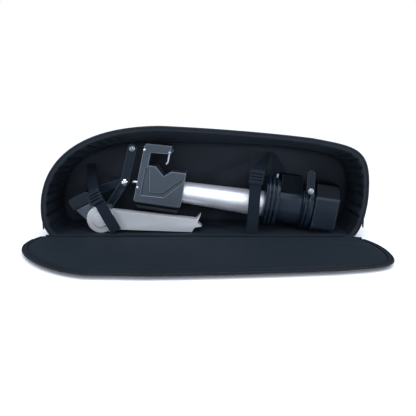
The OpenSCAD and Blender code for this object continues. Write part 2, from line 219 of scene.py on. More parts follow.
def smooth(x, low, high):
    """0 below low and 1 above high, with a soft step 3t^2 - 2t^3 between."""
    t = np.clip((np.asarray(x, float) - low) / (high - low), 0, 1)
    return t * t * (3 - 2 * t)


def mesh_piece(name, points, faces, uv, material, body, shade=60):
    """Puts points and faces into one object with a UV map in metres, normals out, on a body."""
    mesh = bpy.data.meshes.new(name)
    mesh.from_pydata(points.reshape(-1, 3).tolist(), [], faces)
    mesh.validate()
    if uv is not None:
        loops = np.zeros(len(mesh.loops), np.int32)
        mesh.loops.foreach_get("vertex_index", loops)
        layer = mesh.uv_layers.new(name="cloth")
        layer.data.foreach_set("uv", uv.reshape(-1, 2)[loops].astype(np.float32).ravel())
    shell = bmesh.new()
    shell.from_mesh(mesh)
    bmesh.ops.recalc_face_normals(shell, faces=shell.faces)
    shell.to_mesh(mesh)
    shell.free()
    mesh.shade_smooth()
    mesh.set_sharp_from_angle(angle=math.radians(shade))
    piece = bpy.data.objects.new(name, mesh)
    bpy.context.scene.collection.objects.link(piece)
    mesh.materials.append(material)
    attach(piece, body)
    return piece


def grid_faces(nu, nv, wrap_u=False, wrap_v=False):
    """A quad between each four neighbours of an nu by nv grid, and over a wrapped edge."""
    i, j = np.meshgrid(
        np.arange(nu - (not wrap_u)), np.arange(nv - (not wrap_v)), indexing="ij")
    i2, j2 = (i + 1) % nu, (j + 1) % nv
    return np.stack([i * nv + j, i2 * nv + j, i2 * nv + j2, i * nv + j2], -1).reshape(-1, 4)


def cloth_uv(grid):
    """Distance in metres along each way of a grid, as a pair at every point."""
    du = np.linalg.norm(np.diff(grid, axis=0), axis=2).mean(1)
    dv = np.linalg.norm(np.diff(grid, axis=1), axis=2).mean(0)
    u, v = np.r_[0, np.cumsum(du)], np.r_[0, np.cumsum(dv)]
    return np.stack(np.meshgrid(u, v, indexing="ij"), -1)


def swept(name, grid, material, body, shade=60):
    """Closed profile (second way of the grid) carried along a line (first way), ends capped."""
    nu, nv = grid.shape[:2]
    faces = grid_faces(nu, nv, False, True).tolist()
    faces += [list(range(nv)), list(range((nu - 1) * nv, nu * nv))[::-1]]
    return mesh_piece(name, grid, faces, cloth_uv(grid), material, body, shade)


rim_line = case_outline(rim_high, rim_shoulder, .635, .088, .332)
back_line = case_outline(back_rim_high, back_shoulder, .7, .070, .270)
rim_in, back_in = inward(rim_line), inward(back_line)
rim_length = np.linalg.norm(np.diff(rim_line, axis=0), axis=1).sum()
along_rim = np.linspace(0, rim_length, line_points)


def at_wall(share, inset):
    """Points of the wall: the outline slides from the rim's (share 0) to the back's (share 1),
    drawn in by inset; y goes from front to back with the same share. Both may be arrays."""
    share, inset = np.broadcast_arrays(share, inset)
    share = np.broadcast_to(share, (line_points, share.shape[-1]))[..., None]
    inset = np.broadcast_to(inset, share.shape[:2])[..., None]
    flat = (1 - share) * rim_line[:, None] + share * back_line[:, None]
    side = (1 - share) * rim_in[:, None] + share * back_in[:, None]
    flat = flat + inset * side / np.linalg.norm(side, axis=2)[..., None]
    flat[..., 1] = np.maximum(flat[..., 1], 0)
    y = front_y + share[..., 0] * (back_y - front_y)
    return np.stack([flat[..., 0], y, flat[..., 1]], -1)


shell_nylon = woven("ballistic_nylon", "#10161d", "#1c242d", 1.6 * mm, 0.12 * mm)
# The outer side bellies out 2.5 mm between its two seams, and the inner side lies in the wall.
depth_share = np.linspace(0.96, 0.005, 26)
belly = -2.2 * mm * np.sin(np.pi * depth_share) ** 0.7
slack = 0.7 * mm * np.sin(along_rim * 47 + 2 * np.sin(along_rim * 19))[:, None]
outer = at_wall(depth_share, belly + slack * np.sin(np.pi * depth_share))
inner = at_wall(depth_share[::-1], 9 * mm)
case_wall = swept("case_side_wall", np.concatenate([outer, inner], axis=1),
                  shell_nylon, "case")
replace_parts(case_wall, "side_wall")


# ---- Base of the case ----
# The hinge side that the case stands on: the same padded nylon, laid flat between the two ends.

base_low, base_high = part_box("base_wall")


def pillow(name, low, high, swell, material, body, edge=5 * mm, n=(120, 40)):
    """Flat pad between two corners: height high.z at the rim of its top, rising by swell inside;
    the rise is 1 - (1 - d/edge)^2 over the distance d from its nearest side, capped at edge."""
    x = np.linspace(low.x, high.x, n[0])
    y = np.linspace(low.y, high.y, n[1])
    gx, gy = np.meshgrid(x, y, indexing="ij")
    away = np.minimum.reduce([gx - low.x, high.x - gx, gy - low.y, high.y - gy])
    rise = 1 - (1 - np.clip(away / edge, 0, 1)) ** 2
    top = np.stack([gx, gy, high.z - swell + swell * rise], -1)
    bottom = np.stack([gx, gy, np.full_like(gx, low.z)], -1)
    points = np.concatenate([top.reshape(-1, 3), bottom.reshape(-1, 3)])
    quads = grid_faces(*n)
    count = n[0] * n[1]
    rim = np.concatenate([
        np.arange(n[0]) * n[1], (n[0] - 1) * n[1] + np.arange(1, n[1]),
        np.arange(n[0] - 2, -1, -1) * n[1] + n[1] - 1, np.arange(n[1] - 2, 0, -1)])
    skirt = np.stack([rim, np.roll(rim, -1), np.roll(rim, -1) + count, rim + count], -1)
    faces = np.concatenate([quads, quads[:, ::-1] + count, skirt])
    uv = np.concatenate([np.stack([gx, gy], -1).reshape(-1, 2)] * 2)
    piece = mesh_piece(name, points, faces.tolist(), uv, material, body, 75)
    return piece


case_base = pillow("case_base", base_low, base_high, 1 * mm, shell_nylon, "case")
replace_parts(case_base, "base_wall")


# ---- Back panel ----
# Flat padded panel of the same nylon, a little crowned outside, with a stiff board behind its
# lining. Three sewn channels run along it, as on most cases of this kind.

def disc(line, spine, rings):
    """Rings between an outline and a spine under it: point = spine + r (outline - spine), where
    the spine point is the outline's nearest on a segment. Returns the rings, outermost first,
    and how far each point is from the edge."""
    a, b = np.array(spine[0]), np.array(spine[1])
    t = np.clip(((line - a) @ (b - a)) / ((b - a) @ (b - a)), 0, 1)
    foot = a + t[:, None] * (b - a)
    r = np.asarray(rings)[None, :, None]
    flat = foot[:, None] + r * (line - foot)[:, None]
    reach = np.linalg.norm(line - foot, axis=1)[:, None]
    return flat, (1 - r[..., 0]) * reach


def rounded_panel(name, line, spine, inset, place, front, back, material, body,
                  rings=None):
    """Closed panel inside an outline: front and back are heights as functions of the plan place
    and of the distance from its edge; both sheets meet round the edge."""
    rings = np.linspace(1, 0.002, 44) ** 0.8 if rings is None else rings
    edge_line = line + inset * inward(line)
    flat, edge = disc(edge_line, spine, rings)
    top = place(flat, front(flat, edge))
    under = place(flat, back(flat, edge))
    nu, nv = flat.shape[:2]
    grid = np.concatenate([under[:, ::-1], top], axis=1)
    faces = grid_faces(nu, 2 * nv, True, False).tolist()
    faces += [list(range(0, nu * 2 * nv, 2 * nv)), list(range(2 * nv - 1, nu * 2 * nv, 2 * nv))[::-1]]
    uv = np.concatenate([flat[:, ::-1], flat], axis=1)
    return mesh_piece(name, grid, faces, uv, material, body, 70)


def closed(line):
    """Closes an open outline along the hinge side and spaces its points evenly."""
    loop_points = 520
    return evenly(np.vstack([line, line[:1]]), loop_points + 1)[:-1]


def upright(flat, y):
    """Plan X and Z stood up at depth y."""
    return np.stack([flat[..., 0], y, np.maximum(flat[..., 1], 0.3 * mm)], -1)


spine = ([left_x + .13, .12], [right_x - .12, .11])
back_loop = closed(back_line)
channels = (70 * mm, 135 * mm, 200 * mm)


def back_crown(flat, edge):
    """Depth of the outside: 3 mm of crown over 30 mm from the edge, less a groove at each seam."""
    crown = 3 * mm * (1 - (1 - np.clip(edge / .03, 0, 1)) ** 2)
    seam = sum(np.exp(-((flat[..., 1] - z) / (2.2 * mm)) ** 2) for z in channels)
    return back_y - 1.2 * mm + crown - 2 * mm * seam * smooth(edge, 0, .02)


case_back = rounded_panel(
    "case_back_panel", back_loop, spine, 0.5 * mm, upright, back_crown,
    lambda flat, edge: np.full(edge.shape, back_low.y), shell_nylon, "case")
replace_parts(case_back, "back_panel")

board = frame["nodes"]["back_board"]
board_material, tree, skin = finish("twinwall_board", Roughness=0.5, Specular_IOR_Level=0.4)
place = add(tree, "TexCoord").outputs["Object"]
flutes = add(tree, "TexWave", {"bands_direction": "X", "Scale": wave_scale(4 * mm)}, {"Vector": place})
tree.links.new(tone(tree, "#3a3f44", "#464b50", flutes.outputs["Fac"]), skin.inputs["Base Color"])
relief = add(tree, "Bump", {"Strength": 0.5, "Distance": 0.3 * mm}, {"Height": flutes.outputs["Fac"]})
tree.links.new(relief.outputs[0], skin.inputs["Normal"])
board.data.materials.clear()
board.data.materials.append(board_material)


# ---- Piping and binding ----
# Folded nylon tape over a cord: it closes the seam between wall and back, and edges the rim.

binding = woven("binding_tape", "#05080c", "#10151b", 1.2 * mm, 0.15 * mm, gloss=0.2, rough=0.7)


def rounded(width, height, n=16, power=2.6):
    """Profile of a soft-cornered bar: |x / a|^p + |y / b|^p = 1, as n points round it."""
    turn = np.linspace(0, 2 * np.pi, n, endpoint=False)
    c, s = np.cos(turn), np.sin(turn)
    return np.column_stack([
        width / 2 * np.sign(c) * abs(c) ** (2 / power), height / 2 * np.sign(s) * abs(s) ** (2 / power)])


def carried(line, side, up, profile):
    """Grid of a profile (pairs along side and up) carried along a line in space."""
    return (line[:, None] + profile[None, :, :1] * side[:, None] + profile[None, :, 1:] * up[:, None])


def wall_band(share, inset, width, height, start=0, power=2.6):
    """Bar laid along the wall: its width runs from outside in, its height from front to back."""
    centre = at_wall(np.array([share]), np.array([inset]))[:, 0]
    across = (at_wall(np.array([share]), np.array([inset + mm]))[:, 0] - centre)
    across /= np.linalg.norm(across, axis=1)[:, None]
    up = np.tile([0.0, 1.0, 0.0], (line_points, 1))
    keep = centre[:, 2] >= start
    return carried(centre[keep], across[keep], up[keep], rounded(width, height, 16, power))


cord_round = wall_band(0.975, -0.6 * mm, 4.4 * mm, 4.4 * mm, 2.6 * mm, power=2)
rim_round = wall_band(-0.008, 0.6 * mm, 4.6 * mm, 3.4 * mm, 8 * mm)
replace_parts(swept("back_piping_cord", cord_round, binding, "case"), "back_piping")
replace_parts(swept("rim_binding_tape", rim_round, binding, "case"), "rim_binding")


# ---- Zip on the rim ----
# Nylon coil zip: a woven tape round the rim's front, with the coil of moulded teeth on its edge.
# The teeth are set 2.4 mm apart, a little coarser than real ones, so that they still show.

zip_cloth = woven("zip_tape_cloth", "#141c24", "#1f2831", 1.0 * mm, 0.08 * mm, rough=0.72, gloss=0.2)
rim_tape = swept("rim_zip_woven_tape", wall_band(-0.002, 3.5 * mm, 6.0 * mm, 1.4 * mm, 6 * mm),
                 zip_cloth, "case")
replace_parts(rim_tape, "rim_zip_tape")

nylon_teeth, tree, skin = finish(
    "moulded_nylon_teeth", Roughness=0.42, Specular_IOR_Level=0.4)
grain = add(tree, "TexNoise", {"Scale": 900, "Detail": 2.0},
            {"Vector": add(tree, "TexCoord").outputs["Object"]}).outputs["Fac"]
tree.links.new(tone(tree, "#05070a", "#12161b", grain), skin.inputs["Base Color"])
tree.links.new(add(tree, "Bump", {"Strength": 0.3, "Distance": 0.05 * mm}, {"Height": grain}).outputs[0],
               skin.inputs["Normal"])


def resampled(line, others, pitch):
    """A line in space and the directions along it, at points one pitch apart."""
    along = np.r_[0, np.cumsum(np.linalg.norm(np.diff(line, axis=0), axis=1))]
    at = np.arange(pitch / 2, along[-1], pitch)
    out = []
    for values in [line, *others]:
        out.append(np.column_stack([np.interp(at, along, values[:, k]) for k in range(3)]))
    return out


def repeated(name, shape, faces, line, side, up, pitch, material, body):
    """One small shape set again and again along a line: point = place + x ahead + y side + z up."""
    place, side, up = resampled(line, [side, up], pitch)
    side /= np.linalg.norm(side, axis=1)[:, None]
    up /= np.linalg.norm(up, axis=1)[:, None]
    ahead = np.cross(side, up)
    points = (place[:, None] + shape[None, :, :1] * ahead[:, None]
              + shape[None, :, 1:2] * side[:, None] + shape[None, :, 2:] * up[:, None])
    step = len(shape) * np.arange(len(place))[:, None, None]
    every = (np.asarray(faces)[None] + step).reshape(-1, 4)
    return mesh_piece(name, points, every.tolist(), None, material, body, 50)


def block_shape(rings):
    """Closed four-sided bar through rings of (y, half x, half z): points and quads, ends closed."""
    points = np.array([
        [sx * hx, y, sz * hz] for y, hx, hz in rings for sx, sz in ((-1, -1), (1, -1), (1, 1), (-1, 1))])
    quads = [[4 * i + j, 4 * i + (j + 1) % 4, 4 * i + 4 + (j + 1) % 4, 4 * i + 4 + j]
             for i in range(len(rings) - 1) for j in range(4)]
    last = 4 * (len(rings) - 1)
    return points, quads + [[3, 2, 1, 0], [last, last + 1, last + 2, last + 3]]


# One tooth is a loop of the coil: a bar across the tape, thicker at the head that locks.
tooth, tooth_faces = block_shape([
    (-1.6 * mm, .35 * mm, .5 * mm), (-1.1 * mm, .95 * mm, .95 * mm), (-.4 * mm, .95 * mm, .95 * mm),
    (.1 * mm, .5 * mm, .65 * mm), (1.5 * mm, .55 * mm, .6 * mm)])
zip_foot, tooth_pitch = 34 * mm, 2.4 * mm
rim_seam = at_wall(np.array([-0.016]), np.array([1.5 * mm]))[:, 0]
high_up = rim_seam[:, 2] > zip_foot
rim_side = np.column_stack([rim_in[:, 0], np.zeros(line_points), rim_in[:, 1]])
toward = np.tile([0.0, -1.0, 0.0], (line_points, 1))
rim_teeth = repeated("rim_zip_teeth", tooth, tooth_faces, rim_seam[high_up], rim_side[high_up],
                     toward[high_up], tooth_pitch, nylon_teeth, "case")
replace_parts(rim_teeth, "rim_zip_coil")


# ---- Gathered wall lining ----
# Smooth coated nylon over soft foam. It is cut longer than the wall, so that it gathers into
# pleats on both end walls, and it rolls over the rim into a lip beside the zip.

lining_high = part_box("back_lining")[1]
pleat_pitch = 31 * mm
lining = woven("coated_lining_nylon", "#10171f", "#19222b", 1.3 * mm, 0.05 * mm, gloss=0.22, rough=0.66)
# The walls and base take a darker copy of the lining: painted shade for the inside of the case, where little
# light reaches.
shaded_wall_cloth = woven("shaded_lining_nylon", "#090f16", "#131b24", 1.3 * mm, 0.05 * mm, gloss=0.22,
                   rough=0.66)

rng = np.random.default_rng(7)
pleats = int(rim_length / pleat_pitch)
jitter = np.cumsum(rng.uniform(0.72, 1.28, pleats))
pleat_phase = np.interp(along_rim, np.r_[0, jitter] / jitter[-1] * rim_length, np.arange(pleats + 1))
pleat_size = rng.uniform(0.65, 1.25, pleats + 1)[pleat_phase.astype(int)]
gathered = (smooth(along_rim, .030, .060) * (1 - smooth(along_rim, .36, .47))
            + smooth(along_rim, rim_length - .34, rim_length - .27)
            * (1 - smooth(along_rim, rim_length - .07, rim_length - .035)))
# A pleat is |sin| of its phase to the power 0.55: round on top and pinched to a crease between.
pleat = gathered * pleat_size * abs(np.sin(np.pi * pleat_phase)) ** 0.55
to_end = np.minimum(along_rim, rim_length - along_rim)
foot_in = 9.5 * mm + 4.5 * mm * smooth(to_end, 0, .05)

# The lip stands 3 mm proud of the wall's edge, flat over 7 mm, and turns in on a 3 mm radius.
turn_in = np.radians(np.linspace(0, 90, 7))[:, None]
proud, turn_share = 0.021, 0.020
lip = np.vstack([
    np.hstack([-proud + 0.008 * (1 - np.sin(turn_in)), 5.4 * mm + 1.2 * mm * (1 - np.cos(turn_in))]),
    np.hstack([-proud + turn_share * (1 - np.cos(turn_in)), 11 * mm + 3 * mm * np.sin(turn_in)])])
depth = np.linspace(0.015, 0.915, 34)[:, None]
skin_line = np.vstack([[[0.004, 5.2 * mm]], lip, np.hstack([depth, 14 * mm + 0 * depth])])
hidden = np.column_stack([np.linspace(0.915, 0.02, 12), np.full(12, 10 * mm)])
share = np.r_[skin_line[:, 0], hidden[:, 0]]
on_skin = np.arange(len(share)) < len(skin_line)
fade = np.where(on_skin, 1 - 0.75 * smooth(share, 0.25, 0.95), 0) * smooth(share, -0.022, 0.03)
wall_inset = (np.r_[skin_line[:, 1], hidden[:, 1]][None]
              + (foot_in - 14 * mm)[:, None] * smooth(share, -0.01, 0.03)
              + 8.5 * mm * pleat[:, None] * fade
              - 3.5 * mm * gathered[:, None] * fade)
# On the top wall the lining sags between its seams by up to 2 mm.
wall_inset += (2 * mm * (1 - gathered) * smooth(to_end, .1, .3))[:, None] * np.where(
    on_skin, np.sin(np.pi * np.clip(share, 0, 1)) ** 1.5, 0)
lip_lift = 0.010 * pleat[:, None] * np.exp(-((share + 0.005) / 0.02) ** 2) * on_skin
wall_grid = at_wall(share[None] - lip_lift, wall_inset)
wall_lining = swept("wall_lining_gathered", wall_grid, shaded_wall_cloth, "case")
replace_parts(wall_lining, "wall_lining")


# ---- Back lining ----
# Two panels of the lining over thin foam, joined by an upright seam towards the small end.

seam_x = 0.125


def back_face(flat, edge):
    """Front of the lining: soft round edge, a slow swell, and a sharp valley at the seam."""
    roll = 5 * mm * (1 - (1 - np.clip(edge / .016, 0, 1)) ** 2)
    swell = 1.5 * mm * np.sin(flat[..., 0] * 17 + 1) * np.sin(flat[..., 1] * 26)
    valley = 2.4 * mm * np.exp(-abs(flat[..., 0] - seam_x) / (2.5 * mm))
    return lining_high.y - roll - (swell - valley) * smooth(edge, .005, .05)


lining_back = rounded_panel(
    "back_lining_panels", closed(back_line), spine, 12.5 * mm, upright, back_face,
    lambda flat, edge: np.full(edge.shape, lining_high.y), lining, "case",
    rings=np.linspace(1, 0.002, 74))
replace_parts(lining_back, "back_lining")


# ---- Base lining ----
# The same lining laid over the base, under the strapped kit, in its darker copy: painted shade.

pad_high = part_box("base_lining")[1]
base_pad = pillow(
    "base_lining_pad", Vector((hinge_left - 3 * mm, front_y + 1 * mm, base_high.z + 0.1 * mm)),
    Vector((hinge_right + 3 * mm, lining_high.y - 2 * mm, pad_high.z + 1 * mm)), 2.5 * mm,
    shaded_wall_cloth, "case", edge=12 * mm, n=(160, 40))
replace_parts(base_pad, "base_lining")


# ---- Lid ----
# A stiff foam panel between nylon and lining, lying on its domed outer face in front of the case.
# Its outline is the rim's, blunter at the big end, where the lid reaches past the soft rim.

lid_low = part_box("lid_zip_tape")[0]
lining_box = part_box("lid_lining")
fold_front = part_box("hinge_strip")[0].y
lid_reach = left_x - lid_low.x
lid_share = 0.99
lid_x, lid_full = left_x - lid_reach, rim_high * lid_share
lid_line = evenly(np.vstack([
    cubic([lid_x + .021, 0], [lid_x + .007, .03 * lid_full], [lid_x, .13 * lid_full],
          [lid_x, .245 * lid_full]),
    cubic([lid_x, .245 * lid_full], [lid_x, .54 * lid_full], [lid_x + .136, .985 * lid_full],
          [lid_x + .228, .985 * lid_full]),
    cubic([lid_x + .228, .985 * lid_full], [lid_x + .270, .985 * lid_full], [left_x + .300, lid_full],
          [left_x + .332, lid_full]),
] + small_end(lid_full, rim_shoulder * lid_share, .009)), line_points)
lid_in = inward(lid_line)
lid_spine = ([lid_x + .14, .12], [right_x - .13, .11])


def flat_out(flat, z):
    """Plan X and distance from the fold, laid on the floor in front of it at height z."""
    return np.stack([flat[..., 0], fold_front - np.maximum(flat[..., 1], 3 * mm), z], -1)


def dome(flat, edge):
    """Outer face: rises from the floor to the edge as 12.3 (1 - d/40)^1.9 over d, in mm."""
    return 12.3 * mm * (1 - np.clip(edge / .040, 0, 1)) ** 1.9


lid_loop = closed(lid_line)
lid_outside = rounded_panel(
    "lid_outer_shell", lid_loop, lid_spine, 0.2 * mm, flat_out,
    lambda flat, edge: dome(flat, edge) + 1.2 * mm, dome, shell_nylon, "lid",
    rings=np.linspace(1, 0.002, 60))
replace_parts(lid_outside, "lid_shell")


def lid_puff(flat, edge):
    """Lining of the lid: rolls up 4.6 mm from its groove over 13 mm, with slow soft waves and one
    long slack fold that runs in from the small end."""
    roll = 4.6 * mm * (1 - (1 - np.clip(edge / .013, 0, 1)) ** 2)
    x, d = flat[..., 0], flat[..., 1]
    waves = 0.7 * mm * np.sin(x * 11 + 3 * d) * np.sin(d * 21 + 1.3) + 0.35 * mm * np.sin(x * 37 + d * 25)
    fold = 1.3 * mm * np.exp(-((d - .075 - .30 * (x - .28)) / .020) ** 2) * smooth(x, .16, .34)
    return lining_box[0].z - 0.4 * mm + roll + (waves + fold) * smooth(edge, .004, .04)


lid_lining = woven("lid_lining_nylon", "#0b1218", "#131a21", 1.3 * mm, 0.05 * mm, cloudy=8, gloss=0.14,
                   rough=0.7)
lid_pad = rounded_panel(
    "lid_padding", lid_loop, lid_spine, 13 * mm, flat_out, lid_puff,
    lambda flat, edge: dome(flat, edge + 13 * mm) + 2 * mm, lid_lining, "lid",
    rings=np.linspace(1, 0.002, 84))
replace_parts(lid_pad, "lid_lining", "lid_foam")


def lid_band(inset, z, width, height, start, power=2.6):
    """Bar laid round the lid's edge at a height, from a distance start in front of the fold."""
    flat = lid_line + inset * lid_in
    keep = flat[:, 1] >= start
    centre = flat_out(flat, np.full(line_points, z))[keep]
    across = np.column_stack([lid_in[:, 0], -lid_in[:, 1], np.zeros(line_points)])[keep]
    up = np.tile([0.0, 0.0, 1.0], (keep.sum(), 1))
    return carried(centre, across, up, rounded(width, height, 16, power))


lid_edge = lining_box[0].z
welt_round = lid_band(11 * mm, lid_edge + 0.6 * mm, 2.6 * mm, 2.8 * mm, 10 * mm, power=2)
tape_round = lid_band(5.6 * mm, lid_edge - 0.3 * mm, 8.4 * mm, 2.2 * mm, 8 * mm)
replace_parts(swept("lid_piping_cord", welt_round, binding, "lid"), "lid_piping")
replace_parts(swept("lid_zip_woven_tape", tape_round, lid_lining, "lid"), "lid_zip_tape")
lid_seam = flat_out(lid_line + 1.4 * mm * lid_in, np.full(line_points, lid_edge + 1.1 * mm))
far_out = lid_line[:, 1] > zip_foot
lid_side = np.column_stack([lid_in[:, 0], -lid_in[:, 1], np.zeros(line_points)])
lid_up = np.tile([0.0, 0.0, 1.0], (line_points, 1))
lid_teeth = repeated("lid_zip_teeth", tooth, tooth_faces, lid_seam[far_out], lid_side[far_out],
                     lid_up[far_out], tooth_pitch, nylon_teeth, "lid")
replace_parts(lid_teeth, "lid_zip_coil")
swept("lid_edge_binding", lid_band(0.4 * mm, lid_edge - 1.2 * mm, 3.4 * mm, 3.6 * mm, 4 * mm),
      binding, "lid")


# ---- Hinge roll and gusset ----
# The lining is rolled over a cord along the hinge, and a nylon gusset under it joins the lid to the case. On
# the real case the gusset is the piece that bends when the lid is lifted; here it is on neither body, baked
# in place.

roll_low, roll_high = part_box("lid_hinge_roll")
roll_n = 260
x = np.linspace(roll_low.x, roll_high.x + 24 * mm, roll_n)
tail = smooth(x, hinge_right - 40 * mm, hinge_right + 12 * mm)
roll_y = (roll_low.y + roll_high.y) / 2 - 10 * mm * tail
roll_z = (roll_low.z + roll_high.z) / 2 + 0.5 * mm * np.sin(x * 23) - 3.2 * mm * tail
roll_path = np.column_stack([x, roll_y, roll_z])
roll_size = (1 - 0.45 * tail) * (1 - 0.4 * (1 - smooth(x, x[0], x[0] + .03)))
across = np.tile([0.0, 1.0, 0.0], (roll_n, 1))
up = np.tile([0.0, 0.0, 1.0], (roll_n, 1))
roll_profile = rounded(9.6 * mm, 7.6 * mm, 20, 2.2)
roll_grid = (roll_path[:, None] + roll_profile[None, :, :1] * across[:, None] * roll_size[:, None, None]
             + roll_profile[None, :, 1:] * up[:, None] * roll_size[:, None, None])
hinge_roll = swept("lid_lining_roll", roll_grid, lid_lining, "lid")
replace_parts(hinge_roll, "lid_hinge_roll")

strip_low, strip_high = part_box("hinge_strip")
gusset_n, gusset_turn = 160, np.linspace(0, 1, 28)
gx = np.linspace(strip_low.x, strip_high.x, gusset_n)
gy = strip_low.y - 6 * mm + (front_y + 3 * mm - strip_low.y + 6 * mm) * gusset_turn
gz = 2.2 * mm + 1.6 * mm * np.sin(np.pi * gusset_turn) ** 2 + 3.5 * mm * (1 - smooth(gusset_turn, 0, 0.3))
ripple = 0.35 * mm * np.sin(gx * 90)[:, None] * np.sin(np.pi * gusset_turn)
sheet_top = np.stack(np.broadcast_arrays(gx[:, None], gy, gz + ripple), -1)
sheet_under = sheet_top[:, ::-1] - np.array([0, 0, 1.1 * mm])
gusset = swept("hinge_gusset", np.concatenate([sheet_top, sheet_under], axis=1),
               shell_nylon, "case")
gusset.parent = None
del gusset["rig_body"]
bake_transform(gusset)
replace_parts(gusset, "hinge_strip")


# ---- Straps ----
# Two polypropylene webbing straps, 32 mm wide, sewn into the back lining at the top and into the
# base seam at the bottom. Fine ribs run across them, and each edge is a woven bead.

def webbing_finish(name, low, high):
    """Ribbed webbing: a wave along the strap for its ribs, crossed by a finer one for its yarns."""
    material, tree, skin = finish(name, Roughness=0.72, Specular_IOR_Level=0.14, Sheen_Weight=0.03)
    uv = add(tree, "UVMap", {"uv_map": "cloth"}).outputs[0]
    ribs = add(tree, "TexWave", {"bands_direction": "X", "Scale": wave_scale(1.7 * mm)}, {"Vector": uv})
    yarns = add(tree, "TexWave", {"bands_direction": "Y", "Scale": wave_scale(1.3 * mm)}, {"Vector": uv})
    height = times(tree, ribs.outputs["Fac"], times(tree, yarns.outputs["Fac"], 0.5), "ADD")
    place = add(tree, "TexCoord").outputs["Object"]
    fuzz = add(tree, "TexNoise", {"Scale": 40, "Detail": 3.0}, {"Vector": place}).outputs["Fac"]
    shade = times(tree, times(tree, height, 0.3), times(tree, fuzz, 0.5), "ADD")
    tree.links.new(tone(tree, low, high, shade), skin.inputs["Base Color"])
    relief = add(tree, "Bump", {"Strength": 0.7, "Distance": 0.2 * mm}, {"Height": height})
    tree.links.new(relief.outputs[0], skin.inputs["Normal"])
    return material


# Dull, ribbed and near-black, with a blue cast.
strap_web = webbing_finish("polypropylene_webbing", "#0a111a", "#15202b")


def through(points, n):
    """Smooth line through points: a Catmull-Rom curve, evenly spaced. Any columns ride along."""
    p = np.vstack([2 * points[0] - points[1], points, 2 * points[-1] - points[-2]])
    t = np.linspace(0, 1, 24, endpoint=False)[:, None]
    spans = []
    for a, b, c, d in zip(p, p[1:], p[2:], p[3:]):
        spans.append(0.5 * (2 * b + (c - a) * t + (2 * a - 5 * b + 4 * c - d) * t ** 2
                            + (3 * b - a - 3 * c + d) * t ** 3))
    line = np.vstack(spans + [points[-1:]])
    along = np.r_[0, np.cumsum(np.linalg.norm(np.diff(line[:, :3], axis=0), axis=1))]
    at = np.linspace(0, along[-1], n)
    return np.column_stack([np.interp(at, along, line[:, k]) for k in range(line.shape[1])])


def strap(node, stops, cup=0.0):
    """Flat strap through stops (x, y, z, turn, width) in mm and degrees: its section lies along the
    direction (cos turn, 0, -sin turn), and cup bends it across, deeper in the middle."""
    n, thickness = 140, 1.9 * mm
    line = through(np.array(stops, float), n)
    centre, turn, width = line[:, :3] * mm, np.radians(line[:, 3]), line[:, 4] * mm
    side = np.column_stack([np.cos(turn), np.zeros(n), -np.sin(turn)])
    ahead = np.gradient(centre, axis=0)
    out = np.cross(side, ahead)
    out /= np.linalg.norm(out, axis=1)[:, None]
    profile = rounded(1.0, thickness, 40, 3.6)
    across = profile[None, :, :1] * width[:, None, None]
    lift = profile[None, :, 1:] - cup * mm * (1 - (2 * profile[None, :, :1]) ** 2)
    grid = centre[:, None] + across * side[:, None] + lift * out[:, None]
    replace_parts(swept(node + "_webbing", grid, strap_web, "case"), node)


strap("left_strap_upper", [(-350, 62, 194, -8, 25), (-342, 35, 176, -10, 26), (-332, 0, 155, -14, 28),
                           (-322, -32, 137, -22, 31), (-318, -41, 132, -28, 32)], cup=-0.5)
strap("left_strap_lower", [(-321, -42, 134, -28, 32), (-311, -49, 116, -28, 32), (-298, -60, 96, -28, 32),
                           (-280, -63, 62, -27, 32), (-264, -64, 33, -27, 32), (-257, -63.5, 18.6, -27, 32)])
strap("right_strap_front", [(121, -66, 12, 4, 32), (124, -67.5, 50, 4, 32), (128, -67.5, 120, 4, 32),
                            (131, -66, 164, 4, 32), (135, -63, 186.5, 14, 32)])
strap("right_strap_upper", [(134.5, -61.5, 185, 14, 32), (145, -36, 195, 20, 31), (159, -4, 206, 27, 24),
                            (173, 30, 217, 34, 15), (187, 61.8, 228, 40, 6)], cup=1.5)
strap("right_strap_rear", [(189, 61.5, 226, -70, 9), (199, 58, 208, -48, 20), (211, 55, 178, -22, 32),
                           (221, 54, 140, -16, 33), (229, 57, 98, -13, 31), (232, 60, 62, -13, 28)], cup=-2.5)


def stitches(name, line, normal, body, thread):
    """Row of thread stitches: a round-ended bead along the line, pitch apart, half sunk."""
    pitch, long, thick = 4 * mm, 2.7 * mm, 0.45 * mm
    rings = [(s * long / 2, r * thick, r * thick) for s, r in ((-1, .35), (-.7, .9), (.7, .9), (1, .35))]
    points, faces = block_shape(rings)
    points = points[:, [1, 0, 2]]
    ahead = np.gradient(line, axis=0)
    side = np.cross(normal, ahead)
    return repeated(name, points * [-1, 1, 1], faces, line, side, normal, pitch, thread, body)


thread, tree, skin = finish("bonded_polyester_thread", Roughness=0.55, Specular_IOR_Level=0.3)
twist = add(tree, "TexNoise", {"Scale": 700}, {"Vector": add(tree, "TexCoord").outputs["Object"]})
tree.links.new(tone(tree, "#141a21", "#2a323b", twist.outputs["Fac"]), skin.inputs["Base Color"])
lid_tape_line = flat_out(lid_line + 8.6 * mm * lid_in, np.full(line_points, lid_edge + 0.75 * mm))
seam_part = lid_line[:, 1] > 14 * mm
stitches("lid_tape_stitching", lid_tape_line[seam_part], lid_up[seam_part], "lid", thread)
rim_tape_line = at_wall(np.array([-0.0078]), np.array([5.6 * mm]))[:, 0]
rim_part = rim_line[:, 1] > 30 * mm
stitches("rim_tape_stitching", rim_tape_line[rim_part], toward[rim_part], "case", thread)


# ---- Ladder adjusters ----
# Moulded acetal ladder locks: a frame with cross bars that the webbing is threaded through. The
# moulding has soft corners and a fine spark-eroded texture.

